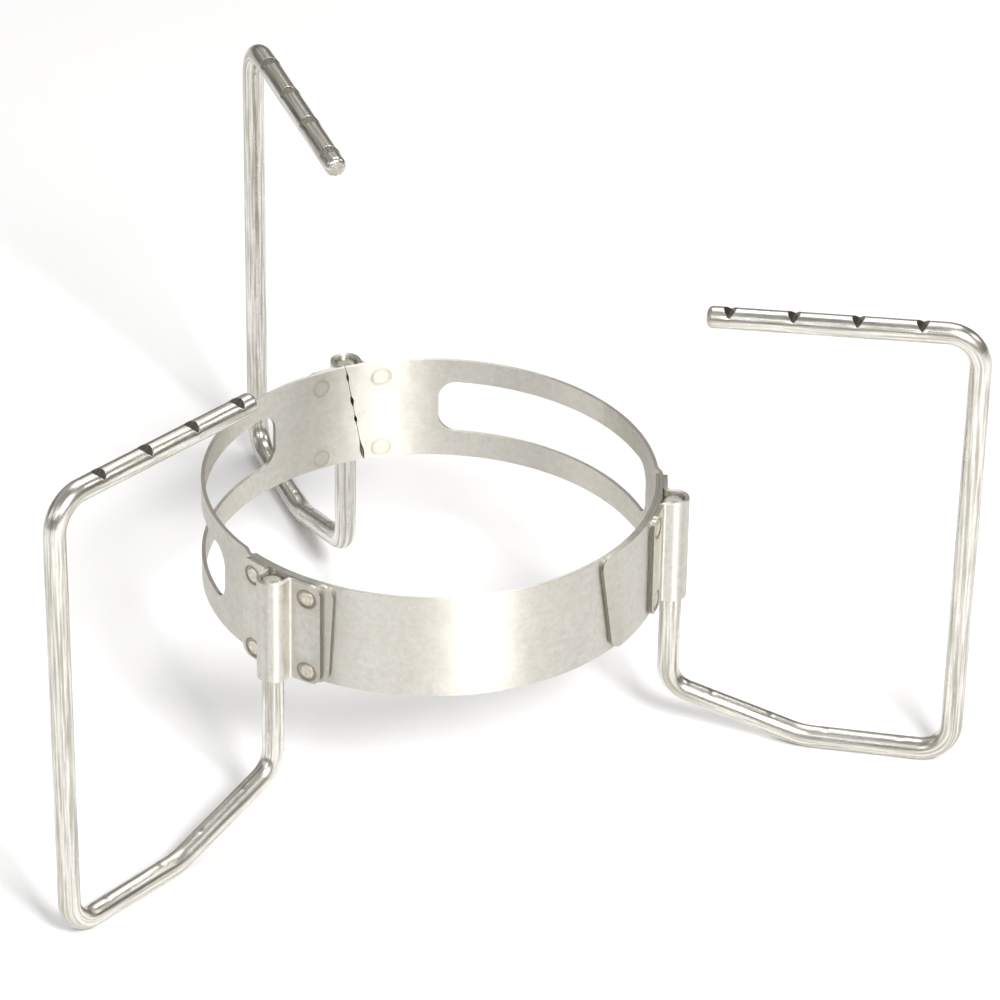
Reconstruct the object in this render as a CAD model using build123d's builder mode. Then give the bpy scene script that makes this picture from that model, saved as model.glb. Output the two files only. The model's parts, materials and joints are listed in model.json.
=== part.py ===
"""Folding burner stand: a windowed sheet-metal ring with three hinge clips and three bent-wire legs.

The ring's axis is Z, the table is the plane z = 0, and the rear leg points along +Y.
Angles are in degrees, counter-clockwise from +X as seen from above. Lengths are in millimetres.
"""
from build123d import *
from math import asin, cos, degrees, radians, sin
import os

os.makedirs("parts", exist_ok=True)

# Ring: two windowed bands and a plain front plate, all of the same strip
ring_inner_radius = 40.8
strip_thickness = 0.7
band_bottom = 29.8
band_height = 20.6
window_height = 10.8
window_rise = 0.3
window_half_span = 36.6
window_corner_radius = 3.6
lap_corner_radius = 2.5
seam_angle = 89.0
seam_lean = -10.0
seam_gap = 0.3
plate_middle = -90.0
plate_half_span = 70.4
joggle_span = 3.0
joggle_clearance = 0.3

# Hinge clips: one strip each, two flanges and a deep U-shaped knuckle between them
clip_thickness = 0.8
clip_height = 20.5
clip_bottom = band_bottom - 0.1
clip_half_span = 12.0
clip_bend_radius = 0.9
clip_corner_radius = 2.0
knuckle_clearance = 0.05
stem_offset = 2.2

# Spot welds, four on each clip
weld_diameter = 3.4
weld_recess = 0.25
weld_thickness = 0.18
weld_half_span = 8.3
weld_levels = (31.9, 47.2)

# Legs: one wire each
wire_diameter = 4.0
stem_top = clip_bottom + clip_height - 0.5
stem_corner_height = 10.1
mid_bend_reach = 25.2
foot_corner_reach = 52.4
arm_corner_reach = 53.8
arm_corner_height = 90.25
arm_tip_reach = 4.9
arm_tip_height = 88.4
stem_bend_radius = 5.5
mid_bend_radius = 14.0
outer_bend_radius = 6.0
stem_chamfer = 0.5
tip_rounding = 1.1
notch_count = 4
notch_first_reach = 8.9
notch_pitch = 11.4
notch_depth = 1.1

band_middle = band_bottom + band_height / 2
band_outer_radius = ring_inner_radius + strip_thickness
lap_outer_radius = band_outer_radius + strip_thickness

# The angle of each clip, the radius that it is welded on, and how far its leg is swung from radial
sides = {
    "left": (210.0, lap_outer_radius, -2.7),
    "right": (-30.0, lap_outer_radius, -1.9),
    "rear": (90.0, band_outer_radius, -1.3),
}


def polar(radius, angle, z=0.0):
    """A point at a radius and an angle about the ring's axis."""
    return Vector(radius * cos(radians(angle)), radius * sin(radians(angle)), z)


def facing_plane(radius, angle, z):
    """A plane that faces away from the ring's axis, with x along the ring and y up."""
    return Plane(origin=polar(radius, angle, z), x_dir=polar(1, angle + 90), z_dir=polar(1, angle))


def window_part(middle):
    """The solid that cuts one long window, with rounded corners, through a band."""
    depth = 8.0
    with BuildPart() as window:
        with BuildSketch(Plane.XZ):
            with Locations((ring_inner_radius, band_middle + window_rise)):
                Rectangle(depth, window_height)
        revolve(axis=Axis.Z, revolution_arc=2 * window_half_span)
        radial_edges = window.edges().filter_by(lambda edge: abs(edge.length - depth) < 0.01)
        fillet(radial_edges, window_corner_radius)
    return window.part.rotate(Axis.Z, middle - window_half_span)


def band_part(clip_angle, lap_angle, lap_lean, turn):
    """A windowed band from the rear seam, past its front clip, to the end that laps the front plate.

    turn is 1 for a band that runs counter-clockwise from the seam, and -1 for one that runs clockwise.
    The band steps outwards by its own thickness where it passes onto the plate.
    """
    trim_allowance = 6.0
    trim_size = 12.0
    flat_radius = ring_inner_radius + strip_thickness / 2
    lap_radius = flat_radius + strip_thickness
    plate_end = plate_middle - turn * plate_half_span + (360 if turn > 0 else 0)
    step_end = plate_end - turn * joggle_clearance
    step_start = step_end - turn * joggle_span
    start = seam_angle - turn * trim_allowance
    finish = lap_angle + turn * trim_allowance

    with BuildPart() as band:
        with BuildSketch(Plane.XY.offset(band_bottom)):
            with BuildLine():
                CenterArc((0, 0), flat_radius, start, step_start - start)
                Spline(polar(flat_radius, step_start), polar(lap_radius, step_end),
                       tangents=(polar(1, step_start + turn * 90), polar(1, step_end + turn * 90)))
                CenterArc((0, 0), lap_radius, step_end, finish - step_end)
            trace(line_width=strip_thickness)
        extrude(amount=band_height)

        with BuildSketch(facing_plane(flat_radius - trim_size / 2, seam_angle, band_middle)):
            with Locations((turn * seam_gap / 2, 0)):
                Rectangle(trim_size, 2 * band_height, rotation=seam_lean,
                          align=(Align.MAX if turn > 0 else Align.MIN, Align.CENTER))
        extrude(amount=trim_size, mode=Mode.SUBTRACT)
        with BuildSketch(facing_plane(lap_radius - trim_size / 2, lap_angle, band_middle)):
            Rectangle(trim_size, 2 * band_height, rotation=lap_lean,
                      align=(Align.MIN if turn > 0 else Align.MAX, Align.CENTER))
        extrude(amount=trim_size, mode=Mode.SUBTRACT)

        add(window_part(clip_angle - turn * 60), mode=Mode.SUBTRACT)
        lap_edges = (band.edges().filter_by(GeomType.LINE)
                     .filter_by(lambda edge: edge.length < 2 * strip_thickness)
                     .sort_by_distance(polar(lap_radius, lap_angle, band_middle))[:2])
        fillet(lap_edges, lap_corner_radius)
    return band.part


def plate_part():
    """The plain front plate, which both bands lap."""
    with BuildPart() as plate:
        with BuildSketch(Plane.XY.offset(band_bottom)):
            with BuildLine():
                CenterArc((0, 0), ring_inner_radius + strip_thickness / 2,
                          plate_middle - plate_half_span, 2 * plate_half_span)
            trace(line_width=strip_thickness)
        extrude(amount=band_height)
    return plate.part


def weld_planes(angle, radius):
    """The places of a clip's four spot welds, at one depth in its flanges."""
    return [facing_plane(radius, angle + side * weld_half_span, level)
            for side in (-1, 1) for level in weld_levels]


def clip_part(angle, seat_radius):
    """A hinge clip that follows the ring and turns out around the leg's stem."""
    sheet_radius = seat_radius + clip_thickness / 2
    knuckle_radius = wire_diameter / 2 + knuckle_clearance + clip_thickness / 2
    stem_radius = seat_radius + stem_offset
    bend_side = knuckle_radius + clip_bend_radius
    bend_angle = degrees(asin(bend_side / (sheet_radius + clip_bend_radius)))
    bend_reach = (sheet_radius + clip_bend_radius) * cos(radians(bend_angle))
    clip_base = Plane(origin=(0, 0, clip_bottom), x_dir=polar(1, angle), z_dir=(0, 0, 1))

    with BuildPart() as clip:
        with BuildSketch(clip_base):
            with BuildLine():
                CenterArc((0, 0), sheet_radius, -clip_half_span, clip_half_span - bend_angle)
                CenterArc((bend_reach, -bend_side), clip_bend_radius, 180 - bend_angle, bend_angle - 90)
                Line((bend_reach, -knuckle_radius), (stem_radius, -knuckle_radius))
                CenterArc((stem_radius, 0), knuckle_radius, -90, 90)
                mirror(about=Plane.XZ)
            trace(line_width=clip_thickness)
        extrude(amount=clip_height)
        corner_edges = clip.edges().filter_by(GeomType.LINE).filter_by(
            lambda edge: abs(edge.length - clip_thickness) < 0.01)
        fillet(corner_edges, clip_corner_radius)
        with BuildSketch(*weld_planes(angle, seat_radius + clip_thickness - weld_recess)):
            Circle(weld_diameter / 2)
        extrude(amount=2 * weld_recess, mode=Mode.SUBTRACT)
    return clip.part


def weld_part(angle, seat_radius):
    """A clip's four spot welds, each a round button in the bottom of its electrode mark."""
    with BuildPart() as welds:
        with BuildSketch(*weld_planes(angle, seat_radius + clip_thickness - weld_recess)):
            Circle(weld_diameter / 2)
        extrude(amount=weld_thickness)
    return welds.part


def leg_part(angle, seat_radius, swing):
    """A leg: hinge stem, sloping and flat foot rail, upright, and a pot arm notched on its top.

    The arm falls a little towards its tip, so a pot bears on the arms' outer ends.
    """
    outward = polar(1, angle + swing)
    leg_plane = Plane(origin=polar(seat_radius + stem_offset, angle), x_dir=outward,
                      z_dir=outward.cross(Vector(0, 0, 1)))
    wire_radius = wire_diameter / 2
    arm_fall = (arm_corner_height - arm_tip_height) / (arm_corner_reach - arm_tip_reach)

    with BuildPart() as leg:
        with BuildLine(leg_plane) as route:
            FilletPolyline((0, stem_top), (0, stem_corner_height), (mid_bend_reach, wire_radius),
                           (foot_corner_reach, wire_radius), (arm_corner_reach, arm_corner_height),
                           (arm_tip_reach, arm_tip_height),
                           radius=[stem_bend_radius, mid_bend_radius, outer_bend_radius, outer_bend_radius])
        with BuildSketch(Plane(origin=route.line @ 0, z_dir=route.line % 0)):
            Circle(wire_radius)
        sweep()
        end_edges = leg.edges().filter_by(GeomType.CIRCLE)
        chamfer(end_edges.sort_by_distance(route.line @ 0)[0], stem_chamfer)
        fillet(end_edges.sort_by_distance(route.line @ 1)[0], tip_rounding)
        with BuildSketch(leg_plane):
            for notch in range(notch_count):
                reach = notch_first_reach + notch * notch_pitch
                arm_top = arm_tip_height + wire_radius + (reach - arm_tip_reach) * arm_fall
                with BuildLine():
                    Polyline((reach, arm_top - notch_depth), (reach - notch_depth, arm_top),
                             (reach - notch_depth, arm_top + 1), (reach + notch_depth, arm_top + 1),
                             (reach + notch_depth, arm_top), close=True)
                make_face()
        extrude(amount=wire_diameter, both=True, mode=Mode.SUBTRACT)
    return leg.part


nodes = {
    "left_band": band_part(clip_angle=210.0, lap_angle=224.4, lap_lean=-3.0, turn=1),
    "right_band": band_part(clip_angle=-30.0, lap_angle=-62.4, lap_lean=10.0, turn=-1),
    "front_plate": plate_part(),
}
for side, (angle, seat_radius, swing) in sides.items():
    nodes[f"{side}_clip"] = clip_part(angle, seat_radius)
    nodes[f"{side}_clip_welds"] = weld_part(angle, seat_radius)
    nodes[f"{side}_leg"] = leg_part(angle, seat_radius, swing)

for name, part in nodes.items():
    part.label = name
    export_step(part, f"parts/{name}.step")
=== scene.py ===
"""Looks of the folding burner stand: a windowed sheet-metal ring, three hinge clips and three wire legs."""
import json
from functools import partial
from math import asin, atan2, cos, degrees, exp, hypot, pi, radians, sin, sqrt

import bmesh
import bpy
from mathutils import Matrix, Vector


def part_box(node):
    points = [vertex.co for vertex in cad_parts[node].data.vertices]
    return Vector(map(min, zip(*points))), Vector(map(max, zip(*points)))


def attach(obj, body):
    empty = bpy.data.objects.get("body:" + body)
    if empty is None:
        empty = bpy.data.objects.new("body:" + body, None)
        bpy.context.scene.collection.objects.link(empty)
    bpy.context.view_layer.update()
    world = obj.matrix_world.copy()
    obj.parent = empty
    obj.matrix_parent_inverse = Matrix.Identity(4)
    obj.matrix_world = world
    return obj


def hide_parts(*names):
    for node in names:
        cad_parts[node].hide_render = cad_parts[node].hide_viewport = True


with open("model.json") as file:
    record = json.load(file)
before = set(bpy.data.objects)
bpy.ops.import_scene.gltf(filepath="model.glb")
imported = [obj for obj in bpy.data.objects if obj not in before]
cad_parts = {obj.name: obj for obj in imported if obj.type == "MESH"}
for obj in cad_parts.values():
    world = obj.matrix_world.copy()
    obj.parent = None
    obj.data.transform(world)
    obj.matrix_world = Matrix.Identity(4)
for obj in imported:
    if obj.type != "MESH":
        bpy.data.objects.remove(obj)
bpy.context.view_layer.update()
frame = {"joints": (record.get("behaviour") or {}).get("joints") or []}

scene = bpy.context.scene


# The ring's two bands. Each is a strip of 0.7 mm stainless steel with one long window punched in it.
# The strip is cut and punched flat, rolled to the ring's radius, and stepped outwards by its own thickness
# where it passes onto the front plate. The two meet behind, in a leaning seam under the rear clip.
mm = 0.001
strip_thickness = 0.7
ring_inner_radius = 40.8
rolled_radius = ring_inner_radius + strip_thickness / 2
band_low, band_high = (corner.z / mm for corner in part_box("left_band"))
band_middle = (band_low + band_high) / 2
band_half_height = (band_high - band_low) / 2
window_half_span, window_half_height, window_corner, window_rise = 36.6, 5.4, 3.6, 0.3
seam_angle, seam_gap, seam_lean = 89.0, 0.08, 10.0
seam_slots = ((48.4, 0.26, 0.8), (43.0, 0.30, 0.8), (38.9, 0.24, 0.6), (31.7, 0.36, 1.5))
step_width, step_clearance = 3.0, 0.3
plate_half_span = 70.4
lap_corner = 2.5
edge_rounding = 0.11


def put(tree, kind, inputs={}, **settings):
    """Adds one node. An input is a value, or another node's output to link to it."""
    node = tree.nodes.new(kind)
    for name, value in settings.items():
        setattr(node, name, value)
    for socket, value in inputs.items():
        if isinstance(value, bpy.types.NodeSocket):
            tree.links.new(value, node.inputs[socket])
        else:
            node.inputs[socket].default_value = value
    return node


def calc(tree, operation, *values):
    """One sum on single numbers."""
    return put(tree, "ShaderNodeMath", dict(enumerate(values)), operation=operation).outputs[0]


def scaled(tree, place, amount):
    """A place or a direction, made longer or shorter by one amount."""
    return put(tree, "ShaderNodeVectorMath", {0: place, "Scale": amount}, operation="SCALE").outputs[0]


def place_sum(tree, operation, *places):
    """One sum on places or directions."""
    return put(tree, "ShaderNodeVectorMath", dict(enumerate(places)), operation=operation).outputs[0]


def parts(tree, place):
    """A place's x, y and z."""
    return put(tree, "ShaderNodeSeparateXYZ", {0: place}).outputs


def place_from(tree, x, y, z):
    """The place with this x, y and z."""
    return put(tree, "ShaderNodeCombineXYZ", {0: x, 1: y, 2: z}).outputs[0]


def on_circle(tree, radius, angle):
    """How far along and how far aside a point is at this radius and angle."""
    aside = calc(tree, "MULTIPLY", radius, calc(tree, "SINE", angle))
    return calc(tree, "MULTIPLY", radius, calc(tree, "COSINE", angle)), aside


def longest_side(tree, a, b):
    """The long side of a right-angled triangle with short sides a and b."""
    squares = calc(tree, "ADD", calc(tree, "MULTIPLY", a, a), calc(tree, "MULTIPLY", b, b))
    return calc(tree, "SQRT", squares)


def smooth_range(tree, value, low, high, to_low, to_high):
    """Maps a range of one number onto another, easing in and out at its ends."""
    return put(tree, "ShaderNodeMapRange", {"Value": value, "From Min": low, "From Max": high, "To Min": to_low,
                                            "To Max": to_high}, interpolation_type="SMOOTHSTEP").outputs[0]


def making_tree(name, inputs):
    """An empty Geometry Nodes tree with these named inputs. Returns it, its inputs and its output node."""
    tree = bpy.data.node_groups.new(name, "GeometryNodeTree")
    tree.interface.new_socket("Geometry", in_out="OUTPUT", socket_type="NodeSocketGeometry")
    for label, kind in inputs.items():
        tree.interface.new_socket(label, in_out="INPUT", socket_type="NodeSocket" + kind)
    return tree, put(tree, "NodeGroupInput").outputs, put(tree, "NodeGroupOutput")


def made_piece(name, tree, values, blank=None, finish=()):
    """Runs a tree on a blank, with any finishing modifiers, and returns the plain mesh as a piece."""
    maker = bpy.data.objects.new(name + "_making", blank or bpy.data.meshes.new(name + "_blank"))
    scene.collection.objects.link(maker)
    making = maker.modifiers.new("making", "NODES")
    making.node_group = tree
    labels = {item.name: item.identifier for item in tree.interface.items_tree if item.in_out == "INPUT"}
    for label, value in values.items():
        making[labels[label]] = value
    for kind, settings in finish:
        modifier = maker.modifiers.new(kind.lower(), kind)
        for setting, value in settings.items():
            setattr(modifier, setting, value)
    bpy.context.view_layer.update()
    mesh = bpy.data.meshes.new_from_object(maker.evaluated_get(bpy.context.evaluated_depsgraph_get()))
    bpy.data.objects.remove(maker)
    mesh.name = name
    piece = bpy.data.objects.new(name, mesh)
    scene.collection.objects.link(piece)
    return piece


def two_sided(name, points, faces, thickness):
    """A flat blank: the same outline on both sides of a sheet, joined by walls along its open edges.

    The strip's map is slanted through the sheet, so the rolling has a direction on the walls too.
    """
    wall_slant = 0.3
    blank = bmesh.new()
    cut_edge = blank.faces.layers.float.new("cut_edge")
    strip_uv = blank.loops.layers.uv.new("strip")
    sides = [[blank.verts.new((x, y, z)) for x, z in points] for y in (-thickness / 2, thickness / 2)]
    runs = {}
    for face in faces:
        blank.faces.new([sides[0][index] for index in face])
        blank.faces.new([sides[1][index] for index in reversed(face)])
        for a, b in zip(face, face[1:] + face[:1]):
            runs[(a, b)] = runs.get((b, a), 0) + 1
    for a, b in runs:
        if (b, a) not in runs:
            blank.faces.new([sides[0][b], sides[0][a], sides[1][a], sides[1][b]])[cut_edge] = 1.0
    for face in blank.faces:
        for corner in face.loops:
            x, y, z = corner.vert.co * mm
            corner[strip_uv].uv = (x + wall_slant * y, z + y)
    bmesh.ops.recalc_face_normals(blank, faces=blank.faces)
    mesh = bpy.data.meshes.new(name)
    blank.to_mesh(mesh)
    blank.free()
    mesh.shade_smooth()
    return mesh


def patch(points, faces, rows):
    """Adds a patch of four-sided faces between rows of points, which all have the same count.

    Points at one place share one number, so a face with two corners at one place becomes a triangle.
    """
    numbered = [[points.setdefault((round(x, 5), round(z, 5)), len(points)) for x, z in row] for row in rows]
    for low, high in zip(numbered, numbered[1:]):
        for corners in zip(low, low[1:], high[1:], high):
            face = list(dict.fromkeys(corners))
            if len(face) > 2:
                faces.append(face)


def mix_points(a, b, share):
    """A point on the way from a to b."""
    return (a[0] + (b[0] - a[0]) * share, a[1] + (b[1] - a[1]) * share)


def band_blank(name, window_angle, lap_angle, lap_lean, turn):
    """The flat band: x is the distance along the strip at the rolled radius, z the height.

    The mesh runs in rings round the window, then in columns to the seam and to the lapped end.
    """
    surround, ring_steps, seam_steps, lap_steps = 3.0, 5, 32, 90
    straight_steps, corner_steps, side_steps, top_steps = 12, 20, 32, 46
    end_rows, end_corner_rows = 24, 8
    straight_half_height = band_half_height - lap_corner

    def along(angle):
        return radians(angle) * rolled_radius

    def leaning(height, lean):
        return height * sin(radians(lean)) / cos(radians(lean))

    def window_corner_point(degrees_round):
        sweep = radians(degrees_round)
        return (window_half - window_corner * (1 - cos(sweep)),
                window_half_height - window_corner * (1 - sin(sweep)))

    window_x, window_half = along(window_angle), along(window_half_span)
    end_heights = [straight_half_height * step / end_rows for step in range(end_rows + 1)]
    end_heights += [straight_half_height + lap_corner * sin(radians(90 * step / end_corner_rows))
                    for step in range(1, end_corner_rows + 1)]

    hole, rim = [], []
    for step in range(side_steps + 1):
        if step <= straight_steps:
            hole.append((window_half, (window_half_height - window_corner) * step / straight_steps))
        else:
            hole.append(window_corner_point(45 * (step - straight_steps) / corner_steps))
        rim.append((window_half + surround, end_heights[step]))
    for step in range(1, corner_steps + 1):
        hole.append(window_corner_point(45 + 45 * step / corner_steps))
        inward = (surround + window_corner) * step / corner_steps
        rim.append((window_half + surround - inward, band_half_height))
    for step in range(1, top_steps + 1):
        x = (window_half - window_corner) * (1 - step / top_steps)
        hole.append((x, window_half_height))
        rim.append((x, band_half_height))

    points, faces = {}, []
    for flip_x in (1, -1):
        for flip_z in (1, -1):
            rows = []
            for step in range(ring_steps + 1):
                share = step / ring_steps
                ring = [mix_points(a, b, share) for a, b in zip(hole, rim)]
                rows.append([(window_x + flip_x * x, band_middle + window_rise * (1 - share) + flip_z * z)
                             for x, z in ring])
            if flip_x * flip_z < 0:
                rows.reverse()
            patch(points, faces, rows)

    heights = [-height for height in reversed(end_heights[1:])] + end_heights
    seam, lap = [], []
    for height in heights:
        opening = seam_gap / 2
        for level, half_width, half_length in seam_slots:
            opening += half_width * exp(-((band_middle + height - level) / half_length) ** 2)
        seam.append((along(seam_angle) + turn * opening + leaning(height, seam_lean), band_middle + height))
        into_corner = max(0.0, abs(height) - band_half_height + lap_corner)
        pulled_back = lap_corner - sqrt(max(0.0, lap_corner ** 2 - into_corner ** 2))
        lap.append((along(lap_angle) - leaning(height, lap_lean) - turn * pulled_back, band_middle + height))
    near = [(window_x - turn * (window_half + surround), band_middle + height) for height in heights]
    far = [(window_x + turn * (window_half + surround), band_middle + height) for height in heights]
    for first, last, steps in ((seam, near, seam_steps), (far, lap, lap_steps)):
        rows = [[mix_points(a, b, step / steps) for a, b in zip(first, last)] for step in range(steps + 1)]
        if turn < 0:
            rows.reverse()
        patch(points, faces, rows)
    return two_sided(name, list(points), faces, strip_thickness)


rolling, given, rolled = making_tree("rolled_strip", {
    "Geometry": "Geometry", "Rolled radius": "Float", "Step start": "Float", "Step end": "Float",
    "Step height": "Float", "Metal": "Material"})
flat = parts(rolling, put(rolling, "GeometryNodeInputPosition").outputs[0])
angle = calc(rolling, "DIVIDE", flat["X"], given["Rolled radius"])
step_out = smooth_range(rolling, angle, given["Step start"], given["Step end"], 0.0, given["Step height"])
radius = calc(rolling, "SUBTRACT", calc(rolling, "ADD", given["Rolled radius"], step_out), flat["Y"])
round_place = place_from(rolling, *on_circle(rolling, radius, angle), flat["Z"])
in_metres = scaled(rolling, round_place, mm)
placed = put(rolling, "GeometryNodeSetPosition", {"Geometry": given["Geometry"],
                                                  "Position": in_metres}).outputs[0]
whole = put(rolling, "GeometryNodeRealizeInstances", {0: placed}).outputs[0]
in_metal = put(rolling, "GeometryNodeSetMaterial", {"Geometry": whole, "Material": given["Metal"]}).outputs[0]
rolling.links.new(in_metal, rolled.inputs[0])


def shader_tree(name):
    """A new metal. Returns its tree, its shader and the place of each point on the piece, in millimetres."""
    metal = bpy.data.materials.new(name)
    metal.use_nodes = True
    tree = metal.node_tree
    tree.nodes.clear()
    shader = put(tree, "ShaderNodeBsdfPrincipled", {"Metallic": 1.0})
    put(tree, "ShaderNodeOutputMaterial", {"Surface": shader.outputs[0]})
    place = put(tree, "ShaderNodeTexCoord").outputs["Object"]
    return metal, tree, shader, scaled(tree, place, 1 / mm)


def rolled_lines(tree, shader, amount):
    """Spreads reflections across the rolling lines, which run along the strip."""
    shader.inputs["Anisotropic"].default_value = amount
    shader.inputs["Anisotropic Rotation"].default_value = 0.25
    along_strip = put(tree, "ShaderNodeTangent", direction_type="UV_MAP", uv_map="strip").outputs[0]
    tree.links.new(along_strip, shader.inputs["Tangent"])


def stretched(tree, place, x, y, z):
    """A place with each direction scaled by its own amount."""
    return place_sum(tree, "MULTIPLY", place, (x, y, z))


def grain(tree, place, scale, detail=3.0, roughness=0.55, distortion=0.0):
    """Soft noise from 0 to 1."""
    return put(tree, "ShaderNodeTexNoise", {"Vector": place, "Scale": scale, "Detail": detail,
                                            "Roughness": roughness, "Distortion": distortion}).outputs["Fac"]


def spread(tree, value, low, high, to_low, to_high):
    """Maps a range of one number onto another, and stops at its ends."""
    return put(tree, "ShaderNodeMapRange", {"Value": value, "From Min": low, "From Max": high,
                                            "To Min": to_low, "To Max": to_high}).outputs[0]


def blend_colours(tree, share, a, b):
    """A share of colour b over colour a."""
    mixer = put(tree, "ShaderNodeMix", {0: share}, data_type="RGBA")
    for socket, colour in ((6, a), (7, b)):
        if isinstance(colour, bpy.types.NodeSocket):
            tree.links.new(colour, mixer.inputs[socket])
        else:
            mixer.inputs[socket].default_value = (*colour, 1)
    return mixer.outputs[2]


def pressed(tree, height, depth, normal=None):
    """A bump of this depth in millimetres."""
    inputs = {"Height": height, "Distance": depth * mm}
    if normal:
        inputs["Normal"] = normal
    return put(tree, "ShaderNodeBump", inputs).outputs[0]


def rolled_place(tree, in_mm):
    """The same place measured along the strip, up it, and out from the ring's axis."""
    x, y, z = parts(tree, in_mm)
    along = calc(tree, "MULTIPLY", calc(tree, "ARCTAN2", y, x), rolled_radius)
    return place_from(tree, along, z, longest_side(tree, x, y)), along, z


weld_half_span, weld_low, weld_high = 8.3, 31.9, 47.2


def from_weld(tree, along, height):
    """The distance to the nearest of the twelve welds. The clips are a third of a turn apart."""
    third, one_clip = 120.0, 90.0
    angle = calc(tree, "MULTIPLY", along, degrees(1 / rolled_radius))
    from_clip = calc(tree, "FLOORED_MODULO", calc(tree, "SUBTRACT", angle, one_clip - third / 2), third)
    from_clip = calc(tree, "ABSOLUTE", calc(tree, "SUBTRACT", from_clip, third / 2))
    aside = calc(tree, "MULTIPLY", calc(tree, "SUBTRACT", from_clip, weld_half_span), radians(rolled_radius))
    from_middle = calc(tree, "ABSOLUTE", calc(tree, "SUBTRACT", height, (weld_low + weld_high) / 2))
    return longest_side(tree, aside, calc(tree, "SUBTRACT", from_middle, (weld_high - weld_low) / 2))


def ring_mark(tree, distance, inner, full, fading, outer):
    """A ring round each weld that comes in from the inner radius and fades out to the outer one."""
    coming = spread(tree, distance, inner, full, 0, 1)
    return calc(tree, "MULTIPLY", coming, spread(tree, distance, fading, outer, 1, 0))


def layered(tree, reliefs):
    """Bumps laid one over another. Each is a height from 0 to 1 and its depth in millimetres."""
    surface = None
    for relief, depth in reliefs:
        surface = pressed(tree, relief, depth, surface)
    return surface


def cut_edge_painted_shade(tree):
    """How much shade is painted on the sheet's cut edge. The upright cuts get the darker painted shade, the
    flat tops only a little.
    """
    flat_top_edge_shade, upright_edge_shade = 0.15, 0.9
    cut = put(tree, "ShaderNodeAttribute", attribute_name="cut_edge").outputs["Fac"]
    facing = put(tree, "ShaderNodeNewGeometry").outputs["True Normal"]
    facing_up = calc(tree, "ABSOLUTE", parts(tree, facing)["Z"])
    return calc(tree, "MULTIPLY", cut, spread(tree, facing_up, 0.3, 0.8, upright_edge_shade, flat_top_edge_shade))


light_steel, grey_steel = (0.79, 0.775, 0.73), (0.68, 0.66, 0.605)
pitted_steel, dull_steel = (0.56, 0.54, 0.48), (0.66, 0.64, 0.575)
# The first colour is painted shade for the cut edges; the weld ring and heat tint are real marks.
cut_edge_shade_grey, ring_grey, heat_brown = (0.20, 0.19, 0.15), (0.30, 0.28, 0.23), (0.50, 0.43, 0.31)
line_spread = 0.88
strip_steel, tree, shader, in_mm = shader_tree("satin_rolled_strip")
strip_place, along, height = rolled_place(tree, in_mm)
lines = grain(tree, stretched(tree, strip_place, 0.10, 5.5, 1), 1.0, detail=4, roughness=0.6)
mottle = grain(tree, strip_place, 0.9, detail=5, roughness=0.66, distortion=0.3)
patches = grain(tree, strip_place, 0.11, detail=2, roughness=0.5)
pits = grain(tree, strip_place, 3.6, detail=3, roughness=0.7)
scratch_field = grain(tree, stretched(tree, strip_place, 0.5, 9.0, 1), 0.8, detail=1, distortion=1.2)
scratches = spread(tree, scratch_field, 0.71, 0.76, 0, 1)
cut = cut_edge_painted_shade(tree)
weld_distance = from_weld(tree, along, height)
weld_ring = ring_mark(tree, weld_distance, 1.1, 1.6, 1.6, 2.1)
heat = calc(tree, "MULTIPLY", spread(tree, weld_distance, 1.2, 3.6, 1, 0), 0.28)
ring_share = calc(tree, "MULTIPLY", weld_ring, spread(tree, patches, 0.35, 0.65, 0.05, 0.40))
colour = blend_colours(tree, spread(tree, mottle, 0.30, 0.70, 0, 1), grey_steel, light_steel)
colour = blend_colours(tree, spread(tree, pits, 0.35, 0.65, 0.25, 0.0), colour, pitted_steel)
colour = blend_colours(tree, spread(tree, patches, 0.35, 0.65, 0.0, 0.30), colour, dull_steel)
colour = blend_colours(tree, heat, colour, heat_brown)
colour = blend_colours(tree, ring_share, colour, ring_grey)
# Painted shade on the cut edges, darkest on the upright ones.
colour = blend_colours(tree, cut, colour, cut_edge_shade_grey)
tree.links.new(colour, shader.inputs["Base Color"])
roughness = spread(tree, mottle, 0.3, 0.7, 0.47, 0.40)
roughness = calc(tree, "ADD", roughness, spread(tree, lines, 0.3, 0.7, -0.03, 0.04))
roughness = calc(tree, "ADD", roughness, calc(tree, "MULTIPLY", scratches, 0.08))
tree.links.new(roughness, shader.inputs["Roughness"])
waves = calc(tree, "MULTIPLY", patches, calc(tree, "SUBTRACT", 1.0, cut))
surface = layered(tree, ((waves, 0.22), (mottle, 0.010), (lines, 0.006), (pits, 0.004),
                         (calc(tree, "MULTIPLY", scratches, -1), 0.005),
                         (calc(tree, "MULTIPLY", weld_ring, -1), 0.035)))
tree.links.new(surface, shader.inputs["Normal"])
rolled_lines(tree, shader, line_spread)

rounded_edges = [("BEVEL", {"width": edge_rounding * mm, "segments": 2, "limit_method": "ANGLE",
                            "angle_limit": radians(50), "harden_normals": True})]
plate_middle = -90.0
bands = {"left_band": dict(window_angle=150.0, lap_angle=224.4, lap_lean=-3.0, turn=1),
         "right_band": dict(window_angle=30.0, lap_angle=-62.4, lap_lean=10.0, turn=-1)}
for node, shape in bands.items():
    turn = shape["turn"]
    plate_end = plate_middle - turn * plate_half_span + (360 if turn > 0 else 0)
    step_end = plate_end - turn * step_clearance
    band = made_piece("rolled_" + node, rolling, {
        "Rolled radius": rolled_radius, "Step start": radians(step_end - turn * step_width),
        "Step end": radians(step_end), "Step height": strip_thickness, "Metal": strip_steel},
        blank=band_blank(node, **shape), finish=rounded_edges)
    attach(band, "ring")
    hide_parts(node)


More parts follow.
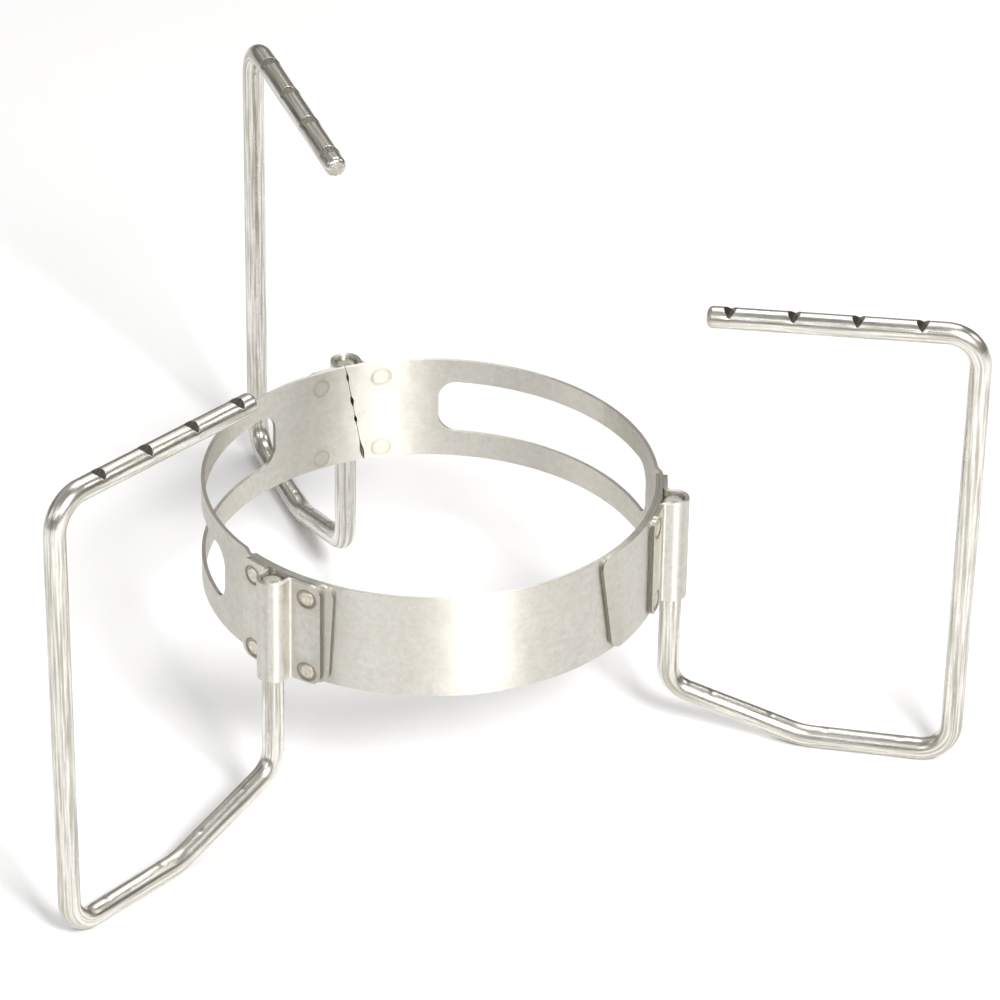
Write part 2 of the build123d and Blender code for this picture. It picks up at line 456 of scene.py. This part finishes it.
# The front plate. It is a plain piece of the same 0.7 mm strip, rolled to the same radius.
# It lies inside the front ends of the two bands, and the front clips' welds go through both sheets into it.
plate_columns, plate_rows = 210, 24
plate_points, plate_faces, plate_grid = {}, [], []
for column in range(plate_columns + 1):
    column_x = radians(plate_middle + plate_half_span * (2 * column / plate_columns - 1)) * rolled_radius
    plate_grid.append([(column_x, band_low + (band_high - band_low) * row / plate_rows)
                       for row in range(plate_rows + 1)])
patch(plate_points, plate_faces, plate_grid)
beyond_plate = 10.0
plate = made_piece("rolled_front_plate", rolling, {
    "Rolled radius": rolled_radius, "Step start": beyond_plate, "Step end": beyond_plate + 1.0,
    "Step height": 0.0, "Metal": strip_steel},
    blank=two_sided("front_plate", list(plate_points), plate_faces, strip_thickness), finish=rounded_edges)
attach(plate, "ring")
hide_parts("front_plate")


# The three hinge clips. Each is a 0.8 mm stainless strip with rounded corners, bent outwards round a leg's
# stem into a deep U, and welded to the ring by its two flanges. Each flange has two round marks where the
# welding electrodes pressed it, browned a little by the heat.
clip_thickness, clip_half_span, clip_bend, clip_corner = 0.8, 12.0, 0.9, 2.0
wire_radius, stem_clearance, stem_offset = 2.0, 0.05, 2.2
weld_mark_radius, weld_mark_depth, mark_slope, mark_slope_inside = 1.7, 0.22, 0.45, 0.25
hinges = {joint["child"]: Vector(joint["pos_m"]) / mm for joint in frame["joints"]}
clip_low, clip_high = (corner.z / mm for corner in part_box("rear_clip"))


def clip_fold(seat_radius):
    """The clip's folded line. Returns a function of the distance from its middle to a place and an outward
    direction, the line's half length, and the distance along it to its welds."""
    sheet_radius = seat_radius + clip_thickness / 2
    stem_radius = seat_radius + stem_offset
    knuckle_radius = wire_radius + stem_clearance + clip_thickness / 2
    bend_side = knuckle_radius + clip_bend
    bend_angle = asin(bend_side / (sheet_radius + clip_bend))
    bend_reach = (sheet_radius + clip_bend) * cos(bend_angle)
    knuckle_run = knuckle_radius * pi / 2
    wall_run = stem_radius - bend_reach
    bend_run = clip_bend * (pi / 2 - bend_angle)
    flange_run = sheet_radius * (radians(clip_half_span) - bend_angle)

    def folded(distance):
        side = 1 if distance >= 0 else -1
        run = abs(distance)
        if run < knuckle_run:
            turned = run / knuckle_radius
            place = (stem_radius + knuckle_radius * cos(turned), knuckle_radius * sin(turned))
            facing = (cos(turned), sin(turned))
        elif run < knuckle_run + wall_run:
            place = (stem_radius - (run - knuckle_run), knuckle_radius)
            facing = (0, 1)
        elif run < knuckle_run + wall_run + bend_run:
            turned = (run - knuckle_run - wall_run) / clip_bend
            place = (bend_reach - clip_bend * sin(turned), bend_side - clip_bend * cos(turned))
            facing = (sin(turned), cos(turned))
        else:
            turned = bend_angle + (run - knuckle_run - wall_run - bend_run) / sheet_radius
            place = (sheet_radius * cos(turned), sheet_radius * sin(turned))
            facing = (cos(turned), sin(turned))
        return (place[0], side * place[1]), (facing[0], side * facing[1])

    flange_start = knuckle_run + wall_run + bend_run
    weld_distance = flange_start + sheet_radius * (radians(weld_half_span) - bend_angle)
    return folded, flange_start + flange_run, flange_start, weld_distance


def face_outwards(mesh):
    """Turns every face of a closed mesh outwards."""
    fixing = bmesh.new()
    fixing.from_mesh(mesh)
    bmesh.ops.recalc_face_normals(fixing, faces=fixing.faces)
    fixing.to_mesh(mesh)
    fixing.free()


def clip_mesh(name, angle, seat_radius):
    """The clip's sheet, folded, with its rounded corners and its weld marks."""
    folded, half_length, flange_start, weld_along = clip_fold(seat_radius)
    half_height = (clip_high - clip_low) / 2
    middle = (clip_high + clip_low) / 2
    straight_half = half_height - clip_corner
    straight_rows, corner_rows, spine_steps, flange_steps = 56, 8, 46, 30
    straight = [straight_half * step / straight_rows * 2 - straight_half for step in range(straight_rows + 1)]
    curved = [straight_half + clip_corner * sin(radians(90 * step / corner_rows))
              for step in range(1, corner_rows + 1)]
    heights = [-height for height in reversed(curved)] + straight + curved
    spine = [flange_start * (step / spine_steps * 2 - 1) for step in range(spine_steps + 1)]
    rows = [[(run, middle + height) for height in heights] for run in spine]
    for side in (-1, 1):
        flange = []
        for step in range(flange_steps + 1):
            row = []
            for height in heights:
                into_corner = max(0.0, abs(height) - half_height + clip_corner)
                end = half_length - clip_corner + sqrt(max(0.0, clip_corner ** 2 - into_corner ** 2))
                run = flange_start + (end - flange_start) * step / flange_steps
                row.append((side * run, middle + height))
            flange.append(row)
        rows = list(reversed(flange))[:-1] + rows if side < 0 else rows + flange[1:]
    points, faces = {}, []
    patch(points, faces, rows)
    mesh = two_sided(name, list(points), faces, clip_thickness)
    turn_x, turn_y = cos(radians(angle)), sin(radians(angle))
    for vertex in mesh.vertices:
        run, depth, height = vertex.co
        place, facing = folded(run)
        offset = -depth
        if offset > 0:
            level = min(abs(height - weld_low), abs(height - weld_high))
            from_centre = hypot(abs(run) - weld_along, level)
            share = min(1.0, max(0.0, (from_centre - weld_mark_radius + mark_slope_inside) / mark_slope))
            offset -= weld_mark_depth * (1 - share * share * (3 - 2 * share))
        out = place[0] + facing[0] * offset
        aside = place[1] + facing[1] * offset
        vertex.co = (mm * (out * turn_x - aside * turn_y), mm * (out * turn_y + aside * turn_x), mm * height)
    face_outwards(mesh)
    return mesh


clip_grey, clip_brown, clip_ring_brown = (0.68, 0.66, 0.60), (0.46, 0.39, 0.28), (0.20, 0.17, 0.13)
clip_steel, tree, shader, in_mm = shader_tree("satin_clip_strip")
strip_place, along, height = rolled_place(tree, in_mm)
lines = grain(tree, stretched(tree, in_mm, 4.0, 4.0, 0.25), 1.0, detail=4, roughness=0.6)
mottle = grain(tree, in_mm, 0.9, detail=5, roughness=0.66, distortion=0.3)
patches = grain(tree, in_mm, 0.16, detail=2)
pits = grain(tree, in_mm, 3.6, detail=3, roughness=0.7)
cut = cut_edge_painted_shade(tree)
weld_distance = from_weld(tree, along, height)
weld_ring = calc(tree, "MULTIPLY", ring_mark(tree, weld_distance, 1.35, 1.65, 1.75, 2.1), 0.8)
heat = calc(tree, "MULTIPLY", spread(tree, weld_distance, 1.3, 3.4, 1, 0), 0.35)
colour = blend_colours(tree, spread(tree, mottle, 0.30, 0.70, 0, 1), clip_grey, light_steel)
colour = blend_colours(tree, spread(tree, pits, 0.35, 0.65, 0.25, 0.0), colour, pitted_steel)
colour = blend_colours(tree, heat, colour, clip_brown)
colour = blend_colours(tree, weld_ring, colour, clip_ring_brown)
# Painted shade on the cut edges, darkest on the upright ones.
colour = blend_colours(tree, cut, colour, cut_edge_shade_grey)
tree.links.new(colour, shader.inputs["Base Color"])
roughness = spread(tree, mottle, 0.3, 0.7, 0.46, 0.38)
roughness = calc(tree, "ADD", roughness, spread(tree, lines, 0.3, 0.7, -0.03, 0.04))
tree.links.new(roughness, shader.inputs["Roughness"])
surface = layered(tree, ((patches, 0.14), (mottle, 0.010), (lines, 0.006), (pits, 0.004)))
tree.links.new(surface, shader.inputs["Normal"])
rolled_lines(tree, shader, line_spread)

clips = {}
for side in ("left", "right", "rear"):
    hinge = hinges[side + "_leg"]
    clips[side] = (degrees(atan2(hinge.y, hinge.x)), hypot(hinge.x, hinge.y) - stem_offset)
folding, given, folded_out = making_tree("finished_sheet", {"Geometry": "Geometry", "Metal": "Material"})
whole = put(folding, "GeometryNodeRealizeInstances", {0: given["Geometry"]}).outputs[0]
in_metal = put(folding, "GeometryNodeSetMaterial", {"Geometry": whole, "Material": given["Metal"]}).outputs[0]
folding.links.new(in_metal, folded_out.inputs[0])
for side, (angle_of_clip, seat_radius) in clips.items():
    clip = made_piece("folded_" + side + "_clip", folding, {"Metal": clip_steel},
                      blank=clip_mesh(side + "_clip", angle_of_clip, seat_radius), finish=rounded_edges)
    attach(clip, "ring")
    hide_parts(side + "_clip")


# The spot welds, four on each clip. The electrodes squeeze and melt the sheets together, and leave a round
# button with a raised rim in the bottom of each mark. The melted metal is uneven and a little brown.
button_radius, button_height, rim_height = 1.45, 0.13, 0.05
rim_reach, rim_width, dome_sharpness, weld_sink = 0.76, 0.12, 6.0, 0.02
spotting, given, spotted = making_tree("spot_welds", {
    "Clip angle": "Float", "Seat radius": "Float", "Half span": "Float", "Low level": "Float",
    "High level": "Float", "Button radius": "Float", "Button height": "Float", "Rim height": "Float",
    "Metal": "Material"})
weld_sum = partial(calc, spotting)
button_grid = put(spotting, "GeometryNodeMeshGrid", {"Size X": 1.0, "Size Y": 1.0, "Vertices X": 19,
                                                     "Vertices Y": 37}).outputs["Mesh"]
flat = parts(spotting, put(spotting, "GeometryNodeInputPosition").outputs[0])
share = weld_sum("MULTIPLY", weld_sum("ADD", flat["X"], 0.5), 2.0)
reach = weld_sum("SUBTRACT", 1.0, weld_sum("ABSOLUTE", weld_sum("SUBTRACT", share, 1.0)))
is_top = weld_sum("LESS_THAN", share, 1.001)
turned = weld_sum("MULTIPLY", flat["Y"], 2 * pi)
dome = weld_sum("SUBTRACT", 1.0, weld_sum("POWER", reach, dome_sharpness))
dome = weld_sum("SQRT", weld_sum("MAXIMUM", dome, 0.0))
from_rim = weld_sum("DIVIDE", weld_sum("SUBTRACT", reach, rim_reach), rim_width)
rim = weld_sum("EXPONENT", weld_sum("MULTIPLY", weld_sum("POWER", from_rim, 2.0), -1.0))
rim_lift = weld_sum("MULTIPLY", rim, weld_sum("MULTIPLY", dome, given["Rim height"]))
top = weld_sum("ADD", weld_sum("MULTIPLY", dome, given["Button height"]), rim_lift)
spoke = weld_sum("MULTIPLY", reach, given["Button radius"])
button_place = place_from(spotting, weld_sum("MULTIPLY", is_top, top), *on_circle(spotting, spoke, turned))
button = put(spotting, "GeometryNodeSetPosition", {"Geometry": button_grid,
                                                   "Position": button_place}).outputs[0]
button = put(spotting, "GeometryNodeMergeByDistance", {"Geometry": button, "Distance": 0.001}).outputs[0]
button = put(spotting, "GeometryNodeSetShadeSmooth", {"Geometry": button}).outputs[0]
spots = put(spotting, "GeometryNodePoints", {"Count": 4}).outputs[0]
number = put(spotting, "GeometryNodeInputIndex").outputs[0]
aside = weld_sum("SUBTRACT", weld_sum("MULTIPLY", weld_sum("MODULO", number, 2.0), 2.0), 1.0)
angle = weld_sum("ADD", given["Clip angle"], weld_sum("MULTIPLY", aside, given["Half span"]))
upper = weld_sum("GREATER_THAN", number, 1.5)
rise = weld_sum("SUBTRACT", given["High level"], given["Low level"])
level = weld_sum("ADD", given["Low level"], weld_sum("MULTIPLY", upper, rise))
spot_place = place_from(spotting, *on_circle(spotting, given["Seat radius"], angle), level)
spots = put(spotting, "GeometryNodeSetPosition", {"Geometry": spots, "Position": spot_place}).outputs[0]
facing_out = place_from(spotting, 0.0, 0.0, angle)
set_in = put(spotting, "GeometryNodeInstanceOnPoints", {"Points": spots, "Instance": button,
                                                        "Rotation": facing_out}).outputs[0]
set_in = put(spotting, "GeometryNodeRealizeInstances", {0: set_in}).outputs[0]
in_metres = put(spotting, "GeometryNodeTransform", {"Geometry": set_in, "Scale": (mm, mm, mm)}).outputs[0]
in_metal = put(spotting, "GeometryNodeSetMaterial", {"Geometry": in_metres,
                                                     "Material": given["Metal"]}).outputs[0]
spotting.links.new(in_metal, spotted.inputs[0])

weld_metal, tree, shader, in_mm = shader_tree("heat_tinted_weld")
melt = grain(tree, in_mm, 1.6, detail=4, roughness=0.65, distortion=0.6)
colour = blend_colours(tree, spread(tree, melt, 0.35, 0.65, 0, 1), (0.48, 0.42, 0.33), (0.74, 0.71, 0.64))
tree.links.new(colour, shader.inputs["Base Color"])
tree.links.new(spread(tree, melt, 0.3, 0.7, 0.42, 0.26), shader.inputs["Roughness"])
tree.links.new(pressed(tree, melt, 0.08), shader.inputs["Normal"])

for side, (angle_of_clip, seat_radius) in clips.items():
    mark_floor = seat_radius + clip_thickness - weld_mark_depth
    welds = made_piece(side + "_weld_buttons", spotting, {
        "Clip angle": radians(angle_of_clip), "Seat radius": mark_floor - weld_sink,
        "Half span": radians(weld_half_span), "Low level": weld_low, "High level": weld_high,
        "Button radius": button_radius, "Button height": button_height, "Rim height": rim_height,
        "Metal": weld_metal})
    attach(welds, "ring")
    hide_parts(side + "_clip_welds")


# The three legs. Each is one 4 mm stainless wire, drawn bright and bent cold: a stem that turns in its clip,
# a foot rail that slopes down and then lies on the table, an upright, and an arm that points over the ring.
# Four notches are pressed across the arm to hold a pot, and the bending tool leaves small marks at the bends.
stem_top, stem_corner_height = 49.7, 10.1
mid_bend_reach, foot_corner_reach, arm_corner_reach, arm_tip_reach = 25.2, 52.4, 53.8, 4.9
arm_corner_height, arm_tip_height = 90.25, 88.4
stem_bend, mid_bend, outer_bend = 5.5, 14.0, 6.0
first_notch, notch_pitch, notch_depth, notch_count = 8.9, 11.4, 1.1, 4
stem_end_rounding, arm_end_rounding, tool_mark_depth = 0.5, 1.1, 0.13
swings = {"left": -2.7, "right": -1.9, "rear": -1.3}
route = [(0, stem_top), (0, stem_corner_height), (mid_bend_reach, wire_radius),
         (foot_corner_reach, wire_radius), (arm_corner_reach, arm_corner_height),
         (arm_tip_reach, arm_tip_height)]
bends = [0.0, stem_bend, mid_bend, outer_bend, outer_bend, 0.0]
tool_marks = [(2.0, 18.2), (8.4, 9.2), (19.5, 6.2), (29.5, 4.0),
              (43.2, 4.0), (49.2, 10.6), (50.3, 81.0), (43.2, 88.0)]

bending, given, bent = making_tree("bent_wire_leg", {
    "Stem place": "Vector", "Direction": "Float", "Wire radius": "Float", "Stem end rounding": "Float",
    "Arm end rounding": "Float", "First notch": "Float", "Notch pitch": "Float", "Notch depth": "Float",
    "Tool mark depth": "Float", "Metal": "Material"})
wire_sum = partial(calc, bending)
number = put(bending, "GeometryNodeInputIndex").outputs[0]
corner_place = put(bending, "GeometryNodeIndexSwitch", data_type="VECTOR")
corner_bend = put(bending, "GeometryNodeIndexSwitch", data_type="FLOAT")
for switch, values in ((corner_place, [(x, 0, z) for x, z in route]), (corner_bend, bends)):
    while len(switch.index_switch_items) < len(values):
        switch.index_switch_items.new()
    bending.links.new(number, switch.inputs[0])
    for order, value in enumerate(values):
        switch.inputs[order + 1].default_value = value
corners = put(bending, "GeometryNodePoints", {"Count": len(route), "Position": corner_place.outputs[0]})
line = put(bending, "GeometryNodePointsToCurves", {"Points": corners.outputs[0]}).outputs[0]
line = put(bending, "GeometryNodeFilletCurve", {"Curve": line, "Radius": corner_bend.outputs[0], "Count": 40},
           mode="POLY").outputs[0]
length = put(bending, "GeometryNodeCurveLength", {0: line}).outputs[0]

rings, points_around, arm_run = 900, 61, 50.0
skin = put(bending, "GeometryNodeMeshGrid", {"Size X": 1.0, "Size Y": 1.0, "Vertices X": rings,
                                             "Vertices Y": points_around}).outputs["Mesh"]
flat = parts(bending, put(bending, "GeometryNodeInputPosition").outputs[0])
share = wire_sum("ADD", flat["X"], 0.5)
turned = wire_sum("MULTIPLY", flat["Y"], 2 * pi)
stem_cap = wire_sum("SUBTRACT", given["Wire radius"], given["Stem end rounding"])
arm_cap = wire_sum("SUBTRACT", given["Wire radius"], given["Arm end rounding"])
plain_run = wire_sum("SUBTRACT", length, arm_run)
plain = spread(bending, share, 0.0, 0.5, wire_sum("MULTIPLY", stem_cap, -1.0), plain_run)
fine = spread(bending, share, 0.5, 1.0, 0.0, wire_sum("ADD", arm_cap, arm_run))
run = wire_sum("ADD", plain, fine)


def end_shape(from_end, rounding, cap):
    """How far in from a wire's end a ring lies, and its radius, across the flat face and round the edge."""
    turn = wire_sum("MINIMUM", wire_sum("MAXIMUM", wire_sum("DIVIDE", from_end, rounding), 0.0), pi / 2)
    past_edge = wire_sum("SUBTRACT", from_end, wire_sum("MULTIPLY", rounding, pi / 2))
    round_edge = wire_sum("MULTIPLY", rounding, wire_sum("SUBTRACT", 1.0, wire_sum("COSINE", turn)))
    inward = wire_sum("ADD", round_edge, wire_sum("MAXIMUM", past_edge, 0.0))
    across = wire_sum("MINIMUM", wire_sum("MAXIMUM", from_end, wire_sum("MULTIPLY", cap, -1.0)), 0.0)
    flat_size = wire_sum("ADD", across, cap)
    return inward, wire_sum("ADD", flat_size, wire_sum("MULTIPLY", rounding, wire_sum("SINE", turn)))


from_stem, stem_size = end_shape(run, given["Stem end rounding"], stem_cap)
from_tip, tip_size = end_shape(wire_sum("SUBTRACT", length, run), given["Arm end rounding"], arm_cap)
line_run = put(bending, "GeometryNodeSwitch", {
    "Switch": wire_sum("GREATER_THAN", share, 0.5), "False": from_stem,
    "True": wire_sum("SUBTRACT", length, from_tip)}, input_type="FLOAT").outputs[0]
size = wire_sum("MINIMUM", stem_size, tip_size)
sample = put(bending, "GeometryNodeSampleCurve", {"Curves": line, "Length": line_run}, mode="LENGTH").outputs
heading = place_sum(bending, "NORMALIZE", sample["Tangent"])
aside = place_sum(bending, "CROSS_PRODUCT", (0, 1, 0), heading)
across_wire, sideways = on_circle(bending, size, turned)
place = place_sum(bending, "ADD", sample["Position"], scaled(bending, aside, across_wire))
place = place_sum(bending, "ADD", place, place_from(bending, 0.0, sideways, 0.0))

long_marks = stretched(bending, place, 1.0, 0.45, 1.0)
marked = None
for x, z in tool_marks:
    from_mark = put(bending, "ShaderNodeVectorMath", {0: long_marks, 1: (x, 0, z)}, operation="DISTANCE")
    away = from_mark.outputs["Value"]
    marked = away if marked is None else wire_sum("MINIMUM", marked, away)
dent = smooth_range(bending, marked, 0.15, 0.7, given["Tool mark depth"], 0.0)
to_line = place_sum(bending, "NORMALIZE", place_sum(bending, "SUBTRACT", sample["Position"], place))
place = place_sum(bending, "ADD", place, scaled(bending, to_line, dent))

arm_straight_reach, squeeze_width, squeeze_bulge, least_cut = 46.0, 0.9, 0.07, 0.02
reach, side_reach, level = parts(bending, place)
arm_line = put(bending, "ShaderNodeMapRange", {
    "Value": reach, "From Min": arm_tip_reach, "From Max": arm_corner_reach,
    "To Min": arm_tip_height, "To Max": arm_corner_height}, clamp=False).outputs[0]
on_arm = wire_sum("GREATER_THAN", level, arm_tip_height - wire_radius - 1)
on_arm = wire_sum("MULTIPLY", on_arm, wire_sum("LESS_THAN", reach, arm_straight_reach))
in_pitch = wire_sum("DIVIDE", wire_sum("SUBTRACT", reach, given["First notch"]), given["Notch pitch"])
nearest = wire_sum("MAXIMUM", wire_sum("ROUND", in_pitch), 0.0)
nearest = wire_sum("MINIMUM", nearest, float(notch_count - 1))
from_notch = wire_sum("ABSOLUTE", wire_sum("SUBTRACT", in_pitch, nearest))
from_notch = wire_sum("MULTIPLY", from_notch, given["Notch pitch"])
notch_drop = wire_sum("MAXIMUM", wire_sum("SUBTRACT", given["Notch depth"], from_notch), 0.0)
notch_level = wire_sum("SUBTRACT", wire_sum("ADD", arm_line, given["Wire radius"]), notch_drop)
cut_depth = wire_sum("SUBTRACT", level, wire_sum("MINIMUM", level, notch_level))
notched = wire_sum("MULTIPLY", on_arm, wire_sum("GREATER_THAN", cut_depth, least_cut))
level = wire_sum("SUBTRACT", level, wire_sum("MULTIPLY", on_arm, cut_depth))
squeeze = wire_sum("POWER", wire_sum("DIVIDE", from_notch, squeeze_width), 2.0)
squeeze = wire_sum("EXPONENT", wire_sum("MULTIPLY", squeeze, -1.0))
high_up = smooth_range(bending, wire_sum("SUBTRACT", level, arm_line), -1.2, 0.6, 0.0, squeeze_bulge)
bulge = wire_sum("MULTIPLY", wire_sum("MULTIPLY", squeeze, high_up), on_arm)
place = place_from(bending, reach, wire_sum("MULTIPLY", side_reach, wire_sum("ADD", 1.0, bulge)), level)

swung = put(bending, "ShaderNodeVectorRotate", {"Vector": place, "Axis": (0, 0, 1),
                                                "Angle": given["Direction"]}).outputs[0]
swung = scaled(bending, place_sum(bending, "ADD", swung, given["Stem place"]), mm)
wire_lines = place_from(bending, *on_circle(bending, given["Wire radius"], turned), run)
for name, value, kind in (("wire_place", wire_lines, "FLOAT_VECTOR"), ("notched", notched, "FLOAT")):
    skin = put(bending, "GeometryNodeStoreNamedAttribute", {"Geometry": skin, "Name": name, "Value": value},
               data_type=kind, domain="POINT").outputs[0]
skin = put(bending, "GeometryNodeSetPosition", {"Geometry": skin, "Position": swung}).outputs[0]
skin = put(bending, "GeometryNodeMergeByDistance", {"Geometry": skin, "Distance": 0.000002}).outputs[0]
skin = put(bending, "GeometryNodeSetShadeSmooth", {"Geometry": skin}).outputs[0]
skin = put(bending, "GeometryNodeRealizeInstances", {0: skin}).outputs[0]
skin = put(bending, "GeometryNodeSetMaterial", {"Geometry": skin, "Material": given["Metal"]}).outputs[0]
bending.links.new(skin, bent.inputs[0])

dark_wire, bright_wire = (0.42, 0.405, 0.355), (0.80, 0.785, 0.74)
# The notch colour is painted shade for the notches' walls.
dull_wire, notch_painted_shade = (0.55, 0.53, 0.47), (0.13, 0.12, 0.09)
wire_steel, tree, shader, in_mm = shader_tree("bright_drawn_wire")
wire_place = put(tree, "ShaderNodeAttribute", attribute_name="wire_place").outputs["Vector"]
draw_lines = grain(tree, stretched(tree, wire_place, 1.6, 1.6, 0.05), 1.4, detail=4, roughness=0.6)
fine_lines = grain(tree, stretched(tree, wire_place, 6.0, 6.0, 0.12), 1.4, detail=2, roughness=0.6)
mottle = grain(tree, in_mm, 0.5, detail=4, roughness=0.6)
pits = grain(tree, in_mm, 2.6, detail=3, roughness=0.7)
colour = blend_colours(tree, spread(tree, draw_lines, 0.40, 0.58, 0, 1), dark_wire, bright_wire)
colour = blend_colours(tree, spread(tree, mottle, 0.45, 0.7, 0, 0.35), colour, dull_wire)
# Painted shade in the pressed notches.
in_notch = put(tree, "ShaderNodeAttribute", attribute_name="notched").outputs["Fac"]
colour = blend_colours(tree, calc(tree, "MULTIPLY", in_notch, 0.8), colour, notch_painted_shade)
tree.links.new(colour, shader.inputs["Base Color"])
roughness = spread(tree, draw_lines, 0.3, 0.7, 0.31, 0.23)
roughness = calc(tree, "ADD", roughness, spread(tree, mottle, 0.3, 0.7, 0.0, 0.05))
tree.links.new(roughness, shader.inputs["Roughness"])
surface = layered(tree, ((draw_lines, 0.035), (fine_lines, 0.008), (pits, 0.008)))
tree.links.new(surface, shader.inputs["Normal"])

for side, (angle_of_clip, seat_radius) in clips.items():
    hinge = hinges[side + "_leg"]
    leg = made_piece("bent_" + side + "_leg", bending, {
        "Stem place": (hinge.x, hinge.y, 0.0), "Direction": radians(angle_of_clip + swings[side]),
        "Wire radius": wire_radius, "Stem end rounding": stem_end_rounding,
        "Arm end rounding": arm_end_rounding, "First notch": first_notch, "Notch pitch": notch_pitch,
        "Notch depth": notch_depth, "Tool mark depth": tool_mark_depth, "Metal": wire_steel})
    face_outwards(leg.data)
    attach(leg, side + "_leg")
    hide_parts(side + "_leg")


# The table that the stand is shown on, plain and nearly white. It is flat, dull and far wider than the view,
# so no edge of it shows.
table_half, table_white, table_roughness = 4, (0.92, 0.92, 0.93, 1), 0.9
table_mesh = bpy.data.meshes.new("table")
table_corners = [(x, y, 0) for x, y in ((-1, -1), (1, -1), (1, 1), (-1, 1))]
table_mesh.from_pydata([(x * table_half, y * table_half, z) for x, y, z in table_corners], [], [(0, 1, 2, 3)])
table = bpy.data.objects.new("table", table_mesh)
scene.collection.objects.link(table)
pale = bpy.data.materials.new("pale_table")
pale.use_nodes = True
pale.node_tree.nodes["Principled BSDF"].inputs["Base Color"].default_value = table_white
pale.node_tree.nodes["Principled BSDF"].inputs["Roughness"].default_value = table_roughness
table_mesh.materials.append(pale)


# The light: an uneven room that is brightest at the horizon, a wide soft lamp high behind on the right,
# a strong key lamp in front, a soft one on the left, and a small one on each side.
room = bpy.data.worlds.new("room")
scene.world = room
room.use_nodes = True
tree = room.node_tree
tree.nodes.clear()
way = put(tree, "ShaderNodeTexCoord").outputs["Generated"]
to_right, backwards, upwards = parts(tree, way)
room_shades = ((0.0, (0.20, 0.195, 0.18, 1)), (0.9, (0.30, 0.31, 0.33, 1)), (0.25, (0.16, 0.155, 0.14, 1)),
               (0.5, (0.46, 0.45, 0.42, 1)))
ramp = put(tree, "ShaderNodeValToRGB", {0: upwards})
for stop, (position, shade) in zip(ramp.color_ramp.elements, room_shades):
    stop.position, stop.color = position, shade
for position, shade in room_shades[2:]:
    ramp.color_ramp.elements.new(position).color = shade
broad = spread(tree, grain(tree, way, 1.9, detail=1), 0.38, 0.62, 0.6, 1.4)
strength = calc(tree, "MULTIPLY", broad, spread(tree, to_right, 0.2, 0.9, 1.0, 0.6))
room_light = put(tree, "ShaderNodeBackground", {"Color": ramp.outputs[0], "Strength": strength})
put(tree, "ShaderNodeOutputWorld", {"Surface": room_light.outputs[0]})
lit_place = Vector((0, 0, 0.04))
lamps = {"overhead": ((0.28, 0.34, 0.90), 0.60, 0.60, 3.4, (1.0, 0.99, 0.97)),
         "key": ((0.06, -0.81, 0.72), 0.28, 0.34, 11.0, (1.0, 0.985, 0.96)),
         "fill": ((-0.65, -0.55, 0.60), 0.35, 0.35, 1.2, (0.98, 0.99, 1.0)),
         "right": ((0.85, -0.15, 0.60), 0.28, 0.28, 1.0, (1.0, 0.99, 0.97)),
         "side": ((-0.85, 0.15, 0.34), 0.30, 0.30, 0.4, (1.0, 0.99, 0.97))}
for name, (place, width, tall, power, tint) in lamps.items():
    lamp = bpy.data.lights.new(name, "AREA")
    lamp.shape = "RECTANGLE"
    lamp.size, lamp.size_y, lamp.energy, lamp.color = width, tall, power, tint
    holder = bpy.data.objects.new(name, lamp)
    holder.location = place
    holder.rotation_euler = (lit_place - Vector(place)).to_track_quat("-Z", "Y").to_euler()
    scene.collection.objects.link(holder)


# The camera, above the table and a little left of the front, with a long lens. The view is shifted a little,
# because the stand's middle isn't the picture's middle.
camera_target, camera_distance = Vector((0, 0, 0.045)), 1.143
camera_turn, camera_rise, camera_roll = radians(21.46), radians(31.86), radians(0.57)
level_way = Vector((-sin(camera_turn), -cos(camera_turn), 0)) * cos(camera_rise)
camera_way = level_way + Vector((0, 0, sin(camera_rise)))
lens = bpy.data.cameras.new("camera")
lens.lens, lens.sensor_width, lens.shift_x, lens.shift_y = 226.75, 36.0, 0.0700, 0.0
lens.clip_start, lens.clip_end = 0.05, 20
camera = bpy.data.objects.new("camera", lens)
camera.location = camera_target + camera_way * camera_distance
facing = (-camera_way).to_track_quat("-Z", "Y").to_matrix().to_4x4()
camera.rotation_euler = (facing @ Matrix.Rotation(camera_roll, 4, "Z")).to_euler()
scene.collection.objects.link(camera)
scene.camera = camera
scene.view_settings.view_transform = "Standard"
